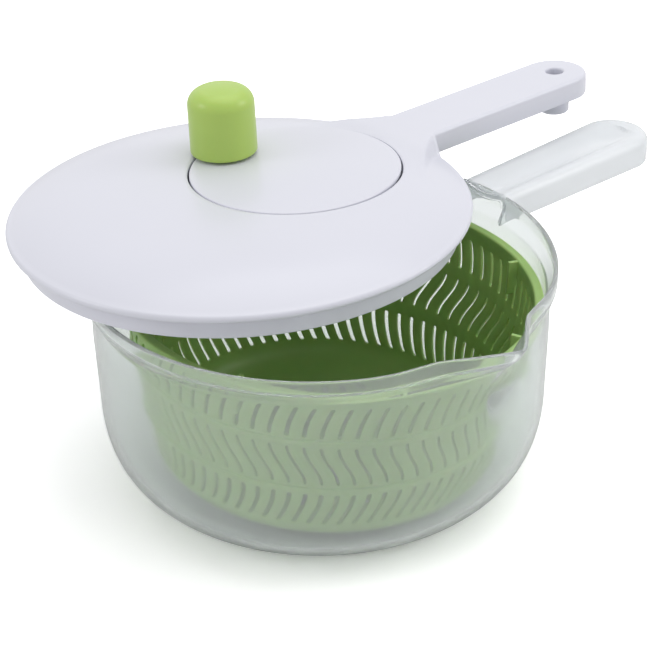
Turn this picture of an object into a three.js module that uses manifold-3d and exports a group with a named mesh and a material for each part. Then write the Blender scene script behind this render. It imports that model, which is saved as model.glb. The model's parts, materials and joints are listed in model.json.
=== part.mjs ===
// A hand-cranked salad spinner: a bowl with a long handle and a pour spout, a slotted basket on a
// pivot in the bowl, and a lid with its own arm, a crank disc, a gear pair and a drive plate.
// The lid stands off the bowl, shifted sideways, and the basket leans a little on its pivot until
// its rim is beside the bowl's wall. Millimetres, +Z up, origin on the table on the bowl's axis,
// +X along the bowl's handle.
import * as THREE from 'three';
import { mergeVertices } from 'three/addons/utils/BufferGeometryUtils.js';
import Module from 'manifold-3d';

const wasm = await Module();
wasm.setup();

// Bowl
const rimRadius = 125;
const bowlHeight = 128;
const bowlWall = 2.5;
const bandHeight = 11;
const wallTopRadius = 121.4;
const wallSideRadius = 120.3;
const shoulderHeight = 58;
const baseRadius = 64;
const floorThickness = 3;
const shoulderPower = 2.5;
const pivotRadius = 5;
const pivotTop = 21;
const pivotBossRadius = 10;
const pivotBossTop = 7.7;

// Pour spout
const spoutBearing = THREE.MathUtils.degToRad(-88);
const spoutReach = 20;
const spoutLift = 4;
const spoutDepth = 24;
const spoutHalfAngle = THREE.MathUtils.degToRad(14.5);
const spoutCrowding = 0.45;

// Bowl handle
const handleTipX = 231.5;
const handleTipRadius = 20.5;
const handleRootHalf = 17.5;
const handleTop = bowlHeight - 1;
const handleDepth = 15;
const handleSkin = 2.6;
const troughDepth = 3.4;

// Basket, in its own frame: its axis leans from the bowl's
const basketLean = THREE.MathUtils.degToRad(3.2);
const basketLeanBearing = THREE.MathUtils.degToRad(-42.4);
const basketFloor = 8.6;
const basketWall = 2;
const basketRimZ = 112;
const basketRimRadius = 112.6;
const basketTopRadius = 109.3;
const basketSideRadius = 94.4;
const basketShoulder = 28;
const basketBaseRadius = 64;
const basketTaper = [
  [basketSideRadius, basketShoulder],
  [98.2, 42],
  [102.2, 61],
  [107.1, 88],
  [basketTopRadius, 101],
];
const hubRadius = 10;
const hubTop = 24;
const hubGap = 1.6;
const runningGap = 0.4;
const ribHeights = [49.5, 81.4];
const ribProud = 1.2;
const slotsPerBand = 16;
const slotWidth = 5;
const slotBands = [
  { low: 85, high: 103.5, lean: 12, inner: 96, outer: 116 },
  { low: 53.5, high: 77.5, lean: -21, inner: 90, outer: 112 },
  { low: 24, high: 45.5, lean: 18, inner: 76, outer: 108 },
];
const floorSlots = 9;
const floorSlotLength = 26;
const floorSlotReach = 38;
const driveRibs = 8;
const driveRibLength = 6;
const driveRibWidth = 2.4;
const driveRibReach = basketTopRadius - 4.2;

// Lid, in its own frame: the edge plane is z = 0 and the arm points along +X
const lidPlace = new THREE.Vector3(-16.7, 44.8, bowlHeight + 19);
const lidTilt = THREE.MathUtils.degToRad(-2);
const lidYaw = THREE.MathUtils.degToRad(-2);
const lidRadius = 124;
const crownHeight = 11.5;
const crownPower = 6;
const lidSkin = 2.6;
const skirtRadius = 117;
const skirtInner = 114.8;
const skirtBottom = -14.5;
const skirtTabs = 8;
const crownStations = [40, 70, 88, 100, 110];
const armHalf = 19;
const armTipX = 235.5;
const armBottom = -1.4;
const armSkin = 2.4;
const armRootX = 60;
const armRootHalf = 50;
const armFlareEnd = 136;
const hangHoleX = 236;
const hangHoleRadius = 5.1;
const hangCollarRadius = 8.8;
const hangCollarBottom = -13.4;

// Crank and gears
const crankCentre = new THREE.Vector2(38.8, 0);
const crankRadius = 57.5;
const crankGap = 0.7;
const knobReach = 46.2;
const knobBearing = THREE.MathUtils.degToRad(108.5);
const discSkin = 2.6;
const gearTeeth = 60;
const pinionTeeth = 20;
const gearModule = (2 * crankCentre.length()) / (gearTeeth + pinionTeeth);
const gearLow = -2.8;
const gearHigh = 1.2;
const seatGap = 0.3;
const axleRadius = 2.6;
const shaftRadius = 3;
const screwRadius = 1.2;
const gearScrewReach = 20;
const gearScrews = 3;
const clipLow = -10.3;
const clipHigh = -9.6;

// Knob, its spindle through the crank disc, and the nut and snap ring that hold them
const knobBottom = crownHeight + 1.4;
const knobTop = crownHeight + 38.5;
const knobFoot = 18.5;
const knobShoulder = 18.4;
const knobCorner = 8.7;
const knobCrown = 0.7;
const spindleRadius = 4;
const snapLow = crownHeight + 20;
const spindleTop = crownHeight + 24.5;

// Housing plate and drive plate
const housingRadius = 112.5;
const housingLow = -8.5;
const housingHigh = -6.5;
const housingScrews = 6;
const housingScrewReach = 108;
const housingScrewStart = THREE.MathUtils.degToRad(50);
const bushBottom = -9.3;
const bushTop = -4.9;
const drivePlateRadius = 105;
const drivePlateLow = -13.2;
const drivePlateHigh = -11.2;
const lugBottom = -16.2;
const lugs = 8;

// Facets round a turned piece
const fine = 56;
const medium = 40;
const coarse = 12;

function toSolid(geometry) {
  const bare = geometry.clone();
  bare.deleteAttribute('normal');
  bare.deleteAttribute('uv');
  const merged = mergeVertices(bare, 1e-4);
  const place = merged.getAttribute('position');
  const order = merged.getIndex().array;
  const corner = [new THREE.Vector3(), new THREE.Vector3(), new THREE.Vector3()];
  const triangles = [];
  let volume = 0;
  for (let i = 0; i < order.length; i += 3) {
    const [a, b, c] = [order[i], order[i + 1], order[i + 2]];
    if (a === b || b === c || c === a) continue;
    triangles.push([a, b, c]);
    [a, b, c].forEach((vertex, k) => corner[k].fromBufferAttribute(place, vertex));
    volume += corner[0].dot(corner[1].cross(corner[2]));
  }
  if (volume < 0) triangles.forEach((triangle) => triangle.reverse());
  const vertProperties = new Float32Array(place.array);
  const triVerts = new Uint32Array(triangles.flat());
  return new wasm.Manifold(new wasm.Mesh({ numProp: 3, vertProperties, triVerts }));
}

function toGeometry(solid) {
  const mesh = solid.getMesh();
  const geometry = new THREE.BufferGeometry();
  const place = new THREE.BufferAttribute(new Float32Array(mesh.vertProperties), mesh.numProp);
  geometry.setAttribute('position', place);
  geometry.setIndex(Array.from(mesh.triVerts));
  geometry.computeVertexNormals();
  return geometry;
}

// A solid of revolution about +Z from [radius, height] pairs.
function turned(profile, segments = coarse) {
  const points = profile.map(([radius, height]) => new THREE.Vector2(radius, height));
  return toSolid(new THREE.LatheGeometry(points, segments).rotateX(Math.PI / 2));
}

// A turned ring: the profile closes on itself, clear of the axis.
function ring(inner, outer, low, high, segments = coarse) {
  return turned([[inner, low], [outer, low], [outer, high], [inner, high], [inner, low]], segments);
}

function rod(radius, low, high, segments = coarse) {
  return turned([[0, low], [radius, low], [radius, high], [0, high]], segments);
}

// A flat outline raised from one height to another.
function raised(shape, low, high, curveSegments = 12) {
  const options = { depth: high - low, bevelEnabled: false, curveSegments };
  return toSolid(new THREE.ExtrudeGeometry(shape, options).translate(0, 0, low));
}

function block(width, depth, low, high) {
  return toSolid(new THREE.BoxGeometry(width, depth, high - low).translate(0, 0, (low + high) / 2));
}

function joined(solids) {
  return solids.reduce((all, next) => all.add(next));
}

// Copies of a solid turned about +Z, evenly spaced from a first bearing.
function around(solid, count, start = 0) {
  const step = 360 / count;
  const first = THREE.MathUtils.radToDeg(start);
  return Array.from({ length: count }, (_, i) => solid.rotate([0, 0, first + step * i]));
}

// Points of a rounded shoulder from a flat floor up to a side wall.
function shoulder(floorRadius, sideRadius, floorZ, sideZ, steps) {
  const points = [];
  for (let i = 0; i <= steps; i += 1) {
    const turn = (Math.PI / 2) * (1 - i / steps);
    const out = Math.cos(turn) ** (2 / shoulderPower);
    const down = Math.sin(turn) ** (2 / shoulderPower);
    points.push([floorRadius + (sideRadius - floorRadius) * out, sideZ - (sideZ - floorZ) * down]);
  }
  return points;
}

function plastic(color, roughness, opacity = 1) {
  return new THREE.MeshStandardMaterial({ color, roughness, opacity, transparent: opacity < 1 });
}

const frosted = () => plastic(0xdfe6e2, 0.45, 0.5);
const white = () => plastic(0xe8eaf0, 0.25);
const green = () => plastic(0xa8cf62, 0.4);
const paleGreen = () => plastic(0x9cc983, 0.45);
const nylon = () => plastic(0xd8d4c8, 0.5);
const steel = () => new THREE.MeshStandardMaterial({ color: 0xb8bcc0, roughness: 0.3, metalness: 1 });

const spinner = new THREE.Group();
const lid = new THREE.Group();
lid.position.copy(lidPlace);
lid.rotation.set(lidTilt, 0, lidYaw, 'XYZ');
spinner.add(lid);
const leaning = new THREE.Group();
const leanAcross = new THREE.Vector3(-Math.sin(basketLeanBearing), Math.cos(basketLeanBearing), 0);
leaning.quaternion.setFromAxisAngle(leanAcross, basketLean);
spinner.add(leaning);

function add(parent, name, solid, material, x = 0, y = 0) {
  const mesh = new THREE.Mesh(toGeometry(solid), material);
  mesh.name = name;
  mesh.position.set(x, y, 0);
  parent.add(mesh);
  return mesh;
}

// Pulls the rim out and up into the pour spout, and crowds the facets towards it.
function spoutPulled(geometry) {
  const place = geometry.getAttribute('position');
  for (let i = 0; i < place.count; i += 1) {
    const [x, y, z] = [place.getX(i), place.getY(i), place.getZ(i)];
    const radius = Math.hypot(x, y);
    const turn = Math.atan2(y, x) - spoutBearing;
    const bearing = Math.atan2(Math.sin(turn), Math.cos(turn));
    const crowded = bearing - spoutCrowding * Math.sin(bearing);
    const rise = Math.min(Math.max((z - bowlHeight + spoutDepth) / spoutDepth, 0), 1);
    const across = Math.min(Math.abs(crowded) / spoutHalfAngle, 1);
    const beak = rise * (1 - across ** 2) ** 2;
    const reach = radius + (radius > pivotBossRadius + 1 ? spoutReach * beak : 0);
    const bearingOut = spoutBearing + crowded;
    place.setXYZ(i, reach * Math.cos(bearingOut), reach * Math.sin(bearingOut), z + spoutLift * beak);
  }
  return geometry;
}

function bowlVessel() {
  const bandLow = bowlHeight - bandHeight;
  const outside = shoulder(baseRadius, wallSideRadius, 0, shoulderHeight, 6);
  const innerBase = baseRadius - 1;
  const innerSide = wallSideRadius - bowlWall;
  const inside = shoulder(innerBase, innerSide, floorThickness, shoulderHeight, 5).reverse();
  const profile = [
    [0, 0],
    ...outside,
    [wallTopRadius, bowlHeight - spoutDepth],
    [wallTopRadius, bandLow - 1.5],
    [rimRadius, bandLow + 0.8],
    [rimRadius, bowlHeight - 0.9],
    [rimRadius - 0.9, bowlHeight],
    [rimRadius - bowlWall + 0.6, bowlHeight],
    [rimRadius - bowlWall, bowlHeight - 0.6],
    [rimRadius - bowlWall, bandLow + 1.6],
    [wallTopRadius - bowlWall, bandLow],
    [wallTopRadius - bowlWall, bowlHeight - spoutDepth],
    ...inside,
    [pivotBossRadius + 2, floorThickness],
    [pivotBossRadius, pivotBossTop],
    [pivotRadius, pivotBossTop],
    [pivotRadius, pivotTop - 2],
    [pivotRadius / 2, pivotTop - 0.4],
    [0, pivotTop],
  ];
  const points = profile.map(([radius, height]) => new THREE.Vector2(radius, height));
  const lathe = new THREE.LatheGeometry(points, fine).rotateX(Math.PI / 2);
  return toSolid(spoutPulled(lathe));
}

// The handle's plan, from inside the rim to its round tip, set in by a margin.
function handlePlan(rootX, margin) {
  const shape = new THREE.Shape();
  shape.moveTo(rootX, margin - handleRootHalf);
  shape.lineTo(handleTipX, margin - handleTipRadius);
  shape.absarc(handleTipX, 0, handleTipRadius - margin, -Math.PI / 2, Math.PI / 2, false);
  shape.lineTo(rootX, handleRootHalf - margin);
  shape.closePath();
  return shape;
}

function bowlHandle() {
  const rootX = wallTopRadius - bowlWall;
  const low = bowlHeight - handleDepth;
  const outer = raised(handlePlan(rootX - 4, 0), low, handleTop, 8);
  const hollowTop = handleTop - handleSkin - troughDepth;
  const hollow = raised(handlePlan(rootX - 6, handleSkin), low - 1, hollowTop, 8);
  const trough = new THREE.SphereGeometry(1, 20, 10);
  trough.scale((handleTipX + 8 - rootX) / 2, handleRootHalf - 3.5, troughDepth);
  trough.translate((handleTipX + 8 + rootX) / 2, 0, handleTop);
  const mouth = rod(wallTopRadius - 0.6, low - 2, bowlHeight + 1, fine);
  return outer.subtract(hollow).subtract(toSolid(trough)).subtract(mouth);
}

function makeBowl() {
  add(spinner, 'bowl', bowlVessel().add(bowlHandle()), frosted());
}

// The basket wall's outer radius at a height above its shoulder.
function basketSkin(height) {
  const above = Math.max(basketTaper.findIndex(([, station]) => station >= height), 1);
  const [lowRadius, lowZ] = basketTaper[above - 1];
  const [highRadius, highZ] = basketTaper[above];
  return THREE.MathUtils.mapLinear(height, lowZ, highZ, lowRadius, highRadius);
}

// A raised ring around the basket's wall, as four profile points.
function ribAt(height) {
  return [
    [basketSkin(height - 2), height - 2],
    [basketSkin(height - 1.2) + ribProud, height - 1.2],
    [basketSkin(height + 1.2) + ribProud, height + 1.2],
    [basketSkin(height + 2), height + 2],
  ];
}

function basketShell() {
  const bore = pivotRadius + hubGap;
  const outside = shoulder(basketBaseRadius, basketSideRadius, basketFloor, basketShoulder, 6);
  const innerSide = basketSideRadius - basketWall;
  const innerFloor = basketFloor + basketWall;
  const inside = shoulder(basketBaseRadius - 1, innerSide, innerFloor, basketShoulder, 5);
  const innerTaper = basketTaper.slice(1).map(([radius, height]) => [radius - basketWall, height]);
  return turned([
    [0, pivotTop + runningGap],
    [bore, pivotTop + runningGap],
    [bore, basketFloor],
    ...outside,
    basketTaper[1],
    ...ribAt(ribHeights[0]),
    basketTaper[2],
    ...ribAt(ribHeights[1]),
    ...basketTaper.slice(3),
    [basketTopRadius, basketRimZ - 4],
    [basketRimRadius, basketRimZ - 3.4],
    [basketRimRadius, basketRimZ - 0.6],
    [basketRimRadius - 0.6, basketRimZ],
    [basketTopRadius - 1, basketRimZ],
    [basketTopRadius - basketWall, basketRimZ - 1.5],
    ...innerTaper.reverse(),
    ...inside.reverse(),
    [hubRadius + 2, innerFloor],
    [hubRadius, basketFloor + 4],
    [hubRadius, hubTop],
    [0, hubTop],
  ], medium);
}

// One band of leaning slots through the basket's wall.
function wallSlots({ low, high, lean, inner, outer }) {
  const length = (high - low) / Math.cos(THREE.MathUtils.degToRad(lean));
  const cutter = new THREE.BoxGeometry(outer - inner, slotWidth, length);
  cutter.rotateX(THREE.MathUtils.degToRad(lean));
  cutter.translate((inner + outer) / 2, 0, (low + high) / 2);
  return around(toSolid(cutter), slotsPerBand);
}

function makeBasket() {
  const floorCut = block(floorSlotLength, slotWidth, basketFloor - 2, basketFloor + 6);
  const floorCuts = around(floorCut.translate([floorSlotReach, 0, 0]), floorSlots);
  const cuts = [...slotBands.flatMap(wallSlots), ...floorCuts];
  const rib = block(driveRibLength, driveRibWidth, basketRimZ - 20, basketRimZ - 0.4);
  const ribs = around(rib.translate([driveRibReach, 0, 0]), driveRibs, Math.PI / driveRibs / 2);
  const shell = basketShell().subtract(joined(cuts));
  add(leaning, 'basket', joined([shell, ...ribs]), paleGreen());
}

function crownZ(radius) {
  return crownHeight * (1 - (radius / lidRadius) ** crownPower);
}

// The domed plate with its edge bead and its skirt.
function lidPlate() {
  const top = crownStations.map((radius) => [radius, crownZ(radius)]);
  const under = top.map(([radius, height]) => [radius, height - lidSkin]);
  return turned([
    [0, crownHeight],
    ...top,
    [117, crownZ(117)],
    [121.5, crownZ(121.5)],
    [lidRadius - 0.4, 0.2],
    [lidRadius, -0.9],
    [lidRadius - 0.7, -2.3],
    [lidRadius - 2.4, -3],
    [skirtRadius + 1, -2.4],
    [skirtRadius, -3],
    [skirtRadius, skirtBottom],
    [skirtInner, skirtBottom],
    [skirtInner, crownZ(skirtInner) - lidSkin - 1],
    ...under.reverse(),
    [0, crownHeight - lidSkin],
  ], fine);
}

// The arm's plan: flared beside the crank disc, straight, then round at its tip.
function armPlan(margin) {
  const half = armHalf - margin;
  const shape = new THREE.Shape();
  shape.moveTo(armRootX, armRootHalf - margin);
  shape.lineTo(armRootX, margin - armRootHalf);
  shape.quadraticCurveTo(86, margin - 54, 104, margin - 40);
  shape.quadraticCurveTo(113, margin - 21, armFlareEnd, -half);
  shape.lineTo(armTipX, -half);
  shape.absarc(armTipX, 0, half, -Math.PI / 2, Math.PI / 2, false);
  shape.lineTo(armFlareEnd, half);
  shape.quadraticCurveTo(113, 21 - margin, 104, 40 - margin);
  shape.quadraticCurveTo(86, 54 - margin, armRootX, armRootHalf - margin);
  return shape;
}

function lidArm() {
  const outer = raised(armPlan(0), armBottom, crownHeight, 7);
  const channel = raised(armPlan(armSkin), armBottom - 1, crownHeight - lidSkin, 7);
  const chamber = turned([
    [0, skirtBottom - 1],
    [skirtInner, skirtBottom - 1],
    [skirtInner, crownZ(skirtInner) - lidSkin - 1],
    ...crownStations.map((radius) => [radius, crownZ(radius) - lidSkin]).reverse(),
    [0, crownHeight - lidSkin],
  ], fine);
  const keptSkirt = rod(skirtRadius, skirtBottom - 1, crownHeight - lidSkin - 0.01, fine);
  return outer.subtract(channel.subtract(keptSkirt)).subtract(chamber);
}

function makeLidCover() {
  const tab = block(2, 5, -6.5, -2.6).translate([skirtRadius - 0.4, 0, 0]);
  const collar = rod(hangCollarRadius, hangCollarBottom, crownHeight - 1).translate([hangHoleX, 0, 0]);
  const boss = rod(4.5, housingHigh + seatGap, 5, 16).translate([housingScrewReach, 0, 0]);
  const hangHole = rod(hangHoleRadius, hangCollarBottom - 1, crownHeight + 1);
  const screwHole = rod(screwRadius + seatGap, housingHigh - 1, -0.4, 10);
  const well = rod(crankRadius + crankGap, -5, crownHeight + 3, medium);
  const solids = [
    lidPlate(),
    lidArm(),
    collar,
    ...around(tab, skirtTabs, Math.PI / 8),
    ...around(boss, housingScrews, housingScrewStart),
  ];
  const cuts = [
    hangHole.translate([hangHoleX, 0, 0]),
    well.translate([crankCentre.x, crankCentre.y, 0]),
    ...around(screwHole.translate([housingScrewReach, 0, 0]), housingScrews, housingScrewStart),
  ];
  add(lid, 'lid_cover', joined(solids).subtract(joined(cuts)), white());
}

function screw(headTop, tip, headRadius = 3.4) {
  const headBottom = headTop - 1.5;
  const profile = [[0, headBottom], [headRadius, headBottom], [headRadius, headTop]];
  return turned([...profile, [screwRadius, headTop], [screwRadius, tip], [0, tip]], 12);
}

function makeHousing() {
  const shaftHole = rod(5 + seatGap, housingLow - 1, housingHigh + 1);
  const screwHole = rod(screwRadius + 0.5, housingLow - 1, housingHigh + 1, 10);
  const cuts = [
    shaftHole,
    shaftHole.translate([crankCentre.x, crankCentre.y, 0]),
    ...around(screwHole.translate([housingScrewReach, 0, 0]), housingScrews, housingScrewStart),
  ];
  const plate = rod(housingRadius, housingLow, housingHigh, medium);
  add(lid, 'gear_housing_plate', plate.subtract(joined(cuts)), white());
  for (let i = 0; i < housingScrews; i += 1) {
    const bearing = housingScrewStart + (2 * Math.PI * i) / housingScrews;
    const x = housingScrewReach * Math.cos(bearing);
    const y = housingScrewReach * Math.sin(bearing);
    add(lid, `housing_screw_${i + 1}`, screw(housingLow - seatGap, -1), steel(), x, y);
  }
}

// A flanged bush that sits in the housing plate and carries a shaft.
function bush(boreRadius) {
  const flangeLow = housingHigh + seatGap;
  return turned([
    [boreRadius, bushBottom],
    [5, bushBottom],
    [5, flangeLow],
    [8, flangeLow],
    [8, bushTop],
    [boreRadius, bushTop],
    [boreRadius, bushBottom],
  ]);
}

function makeBushes() {
  add(lid, 'crank_bush', bush(axleRadius + seatGap), nylon(), crankCentre.x, crankCentre.y);
  add(lid, 'drive_bush', bush(shaftRadius + seatGap), nylon());
}

// A spur gear outline: straight-flanked teeth, the first one on a given bearing.
function gearPlan(teeth, firstTooth) {
  const pitchRadius = (gearModule * teeth) / 2;
  const tipRadius = pitchRadius + 0.85 * gearModule;
  const rootRadius = pitchRadius - 1.15 * gearModule;
  const pitch = (2 * Math.PI) / teeth;
  const tipHalf = (0.13 * pitch * pitchRadius) / tipRadius;
  const rootHalf = (0.32 * pitch * pitchRadius) / rootRadius;
  const points = [];
  for (let i = 0; i < teeth; i += 1) {
    const middle = firstTooth + pitch * i;
    const leading = [[rootRadius, -rootHalf], [tipRadius, -tipHalf]];
    const corners = [...leading, [tipRadius, tipHalf], [rootRadius, rootHalf]];
    corners.forEach(([radius, side]) => {
      points.push(new THREE.Vector2(radius * Math.cos(middle + side), radius * Math.sin(middle + side)));
    });
  }
  return new THREE.Shape(points);
}

function makeCrankDisc() {
  const discLow = crownHeight - discSkin;
  const plate = turned([
    [0, discLow],
    [crankRadius - 0.4, discLow],
    [crankRadius, discLow + 0.4],
    [crankRadius, crownHeight - 0.6],
    [crankRadius - 0.6, crownHeight],
    [0, crownHeight],
  ], medium);
  const post = rod(4, gearHigh + seatGap, discLow + 0.2, 14).translate([gearScrewReach, 0, 0]);
  const hub = rod(8, gearHigh + seatGap, discLow + 0.2);
  const blind = rod(screwRadius + seatGap, gearHigh - 1, discLow + 1, 10).translate([gearScrewReach, 0, 0]);
  const spindleHole = rod(spindleRadius + seatGap, discLow - 1, crownHeight + 1).translate([knobReach, 0, 0]);
  const cuts = [
    rod(axleRadius + seatGap, gearHigh - 1, discLow + 1.2),
    ...around(spindleHole, 1, knobBearing),
    ...around(blind, gearScrews),
  ];
  const disc = joined([plate, hub, ...around(post, gearScrews)]).subtract(joined(cuts));
  add(lid, 'crank_disc', disc, white(), crankCentre.x, crankCentre.y);
}

function makeCrankGear() {
  const towardsPinion = crankCentre.angle() + Math.PI;
  const blank = raised(gearPlan(gearTeeth, towardsPinion), gearLow, gearHigh);
  const screwHole = rod(screwRadius + 0.5, gearLow - 1, gearHigh + 1, 10);
  const screwHoles = around(screwHole.translate([gearScrewReach, 0, 0]), gearScrews);
  const axleHole = rod(axleRadius + seatGap, gearLow - 1, gearHigh + 1);
  const gear = blank.subtract(joined([axleHole, ...screwHoles]));
  add(lid, 'crank_gear', gear, nylon(), crankCentre.x, crankCentre.y);
  for (let i = 0; i < gearScrews; i += 1) {
    const bearing = (2 * Math.PI * i) / gearScrews;
    const x = crankCentre.x + gearScrewReach * Math.cos(bearing);
    const y = crankCentre.y + gearScrewReach * Math.sin(bearing);
    add(lid, `gear_screw_${i + 1}`, screw(gearLow - seatGap, crownHeight - discSkin + 0.5, 3), steel(), x, y);
  }
}

function makeCrankAxle() {
  const neck = axleRadius - 0.7;
  const axleTop = crownHeight - discSkin + 0.9;
  const axle = turned([
    [0, -10.9],
    [axleRadius, -10.9],
    [axleRadius, clipLow - seatGap],
    [neck, clipLow - seatGap],
    [neck, clipHigh + seatGap],
    [axleRadius, clipHigh + seatGap],
    [axleRadius, axleTop],
    [0, axleTop],
  ]);
  const { x, y } = crankCentre;
  add(lid, 'crank_axle', axle, steel(), x, y);
  const washer = ring(axleRadius + seatGap, 6.5, bushTop + 0.5, gearLow - seatGap);
  add(lid, 'crank_washer', washer, nylon(), x, y);
  const mouth = block(8, 3, clipLow - 1, clipHigh + 1).translate([4, 0, 0]);
  const clip = ring(neck + seatGap, 5.2, clipLow, clipHigh).subtract(mouth);
  add(lid, 'crank_axle_clip', clip, steel(), x, y);
}

function makeKnob() {
  const x = crankCentre.x + knobReach * Math.cos(knobBearing);
  const y = crankCentre.y + knobReach * Math.sin(knobBearing);
  const bore = spindleRadius + runningGap;
  const boreTop = spindleTop + 0.5;
  const crown = [];
  for (let i = 0; i <= 4; i += 1) {
    const turn = (Math.PI / 2) * (i / 4);
    const radius = knobShoulder - knobCorner * (1 - Math.cos(turn));
    crown.push([radius, knobTop - knobCrown - knobCorner * (1 - Math.sin(turn))]);
  }
  const knob = turned([
    [0, boreTop],
    [bore, boreTop],
    [bore, snapLow + 1.6],
    [bore + 1.2, snapLow + 1.6],
    [bore + 1.2, snapLow],
    [bore, snapLow],
    [bore, knobBottom + 4.6],
    [10, knobBottom + 3.6],
    [10, knobBottom],
    [knobFoot - 0.5, knobBottom],
    [knobFoot, knobBottom + 0.8],
    ...crown,
    [0, knobTop],
  ], 32);
  add(lid, 'knob', knob, green(), x, y);
  const headTop = crownHeight - discSkin - seatGap;
  const spindle = turned([
    [0, headTop - 1.2],
    [5.5, headTop - 1.2],
    [5.5, headTop],
    [spindleRadius, headTop],
    [spindleRadius, snapLow + 0.1],
    [spindleRadius - 0.9, snapLow + 0.1],
    [spindleRadius - 0.9, snapLow + 1.5],
    [spindleRadius, snapLow + 1.5],
    [spindleRadius, spindleTop - 1],
    [spindleRadius - 1, spindleTop],
    [0, spindleTop],
  ]);
  add(lid, 'knob_spindle', spindle, steel(), x, y);
  const nutBlank = rod(7.4, crownHeight + seatGap, crownHeight + 3.3, 6);
  const nut = nutBlank.subtract(rod(spindleRadius + seatGap, crownHeight, crownHeight + 4));
  add(lid, 'spindle_nut', nut, steel(), x, y);
  const mouth = block(8, 3, snapLow - 1, snapLow + 3).translate([4, 0, 0]);
  const snap = ring(spindleRadius - 0.6, spindleRadius + 1, snapLow + 0.4, snapLow + 1.2);
  add(lid, 'knob_snap_ring', snap.subtract(mouth), steel(), x, y);
}

function makeDrivePinion() {
  const towardsGear = crankCentre.angle();
  const blank = raised(gearPlan(pinionTeeth, towardsGear + Math.PI / pinionTeeth), gearLow, gearHigh + 0.2);
  const pinion = blank.subtract(rod(shaftRadius + seatGap, gearLow - 1, gearHigh + 2));
  add(lid, 'drive_pinion', pinion, nylon());
  const bore = screwRadius + seatGap;
  const shaft = turned([
    [bore, drivePlateLow + 0.2],
    [shaftRadius, drivePlateLow + 0.2],
    [shaftRadius, gearHigh + 0.2],
    [0, gearHigh + 0.2],
    [0, -6.5],
    [bore, -6.5],
    [bore, drivePlateLow + 0.2],
  ]);
  add(lid, 'drive_shaft', shaft, steel());
  add(lid, 'drive_washer', ring(shaftRadius + seatGap, 6.5, bushTop + 0.5, gearLow - seatGap), nylon());
}

function makeDrivePlate() {
  const plate = turned([
    [shaftRadius + seatGap, drivePlateLow],
    [drivePlateRadius - 0.5, drivePlateLow],
    [drivePlateRadius, drivePlateLow + 0.5],
    [drivePlateRadius, drivePlateHigh],
    [8, drivePlateHigh],
    [8, bushBottom - 0.5],
    [shaftRadius + seatGap, bushBottom - 0.5],
    [shaftRadius + seatGap, drivePlateLow],
  ], medium);
  const lug = block(4.5, 10, lugBottom, drivePlateLow + 0.5).translate([102, 0, 0]);
  const rib = block(84, 2, drivePlateLow - 1, drivePlateLow + 0.4).translate([56, 0, 0]);
  const hole = rod(13, drivePlateLow - 2, drivePlateHigh + 1).translate([62, 0, 0]);
  const holes = joined(around(hole, 6, Math.PI / 6));
  const solids = [plate.subtract(holes), ...around(lug, lugs), ...around(rib, 6)];
  add(lid, 'drive_plate', joined(solids), nylon());
  const washer = ring(screwRadius + seatGap, 8, drivePlateLow - 1.1, drivePlateLow - seatGap);
  add(lid, 'drive_plate_washer', washer, steel());
  add(lid, 'drive_plate_screw', screw(drivePlateLow - 1.4, -7), steel());
}

makeBowl();
makeBasket();
makeLidCover();
makeHousing();
makeBushes();
makeCrankDisc();
makeCrankGear();
makeCrankAxle();
makeKnob();
makeDrivePinion();
makeDrivePlate();

export default spinner;
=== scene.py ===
import json
import math
import bpy
import bmesh
from mathutils import Matrix, Vector


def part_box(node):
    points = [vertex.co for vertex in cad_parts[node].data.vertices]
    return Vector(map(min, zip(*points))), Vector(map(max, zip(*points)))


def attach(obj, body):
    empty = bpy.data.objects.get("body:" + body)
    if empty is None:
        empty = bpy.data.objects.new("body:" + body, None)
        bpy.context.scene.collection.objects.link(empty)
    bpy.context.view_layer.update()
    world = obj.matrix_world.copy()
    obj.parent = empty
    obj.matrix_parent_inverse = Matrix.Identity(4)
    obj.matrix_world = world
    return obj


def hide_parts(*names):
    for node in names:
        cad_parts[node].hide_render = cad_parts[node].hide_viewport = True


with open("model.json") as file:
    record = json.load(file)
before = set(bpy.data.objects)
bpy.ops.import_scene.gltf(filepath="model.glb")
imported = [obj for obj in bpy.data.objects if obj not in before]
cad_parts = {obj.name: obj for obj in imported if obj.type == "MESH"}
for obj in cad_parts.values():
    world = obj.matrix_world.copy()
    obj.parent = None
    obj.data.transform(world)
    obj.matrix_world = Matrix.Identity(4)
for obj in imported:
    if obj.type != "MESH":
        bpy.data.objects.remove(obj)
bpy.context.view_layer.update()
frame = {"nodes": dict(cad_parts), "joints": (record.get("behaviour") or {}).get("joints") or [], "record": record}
mm = 0.001
print("frame loaded:", len(frame["nodes"]), "nodes")

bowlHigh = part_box("bowl")[1]
jointPlace = {joint["name"]: Vector(joint["pos_m"]) for joint in frame["joints"] if "pos_m" in joint}
jointAxis = {joint["name"]: Vector(joint["axis"]) for joint in frame["joints"]}

# the lid's own frame: its centre on the drive's axis, its arm along local X
crankFromLid = Vector((38.8, 0.0))
toCrank = (jointPlace["crank_spin"] - jointPlace["drive_spin"]).normalized()
lidUp = jointAxis["drive_spin"].normalized()
lidAlong = Matrix.Rotation(-math.atan2(crankFromLid.y, crankFromLid.x), 3, lidUp) @ toCrank
lidAcross = lidUp.cross(lidAlong)
lidFrame = Matrix((lidAlong, lidAcross, lidUp)).transposed().to_4x4()
lidFrame.translation = jointPlace["drive_spin"]
basketAxis = jointAxis["basket_spin"].normalized()      # the basket leans a little in the bowl
basketFrame = Vector((0, 0, 1)).rotation_difference(basketAxis).to_matrix().to_4x4()
crankFrame = lidFrame @ Matrix.Translation((crankFromLid.x * mm, crankFromLid.y * mm, 0))


# ---- mesh tools, all in millimetres until the piece is placed ----

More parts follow.
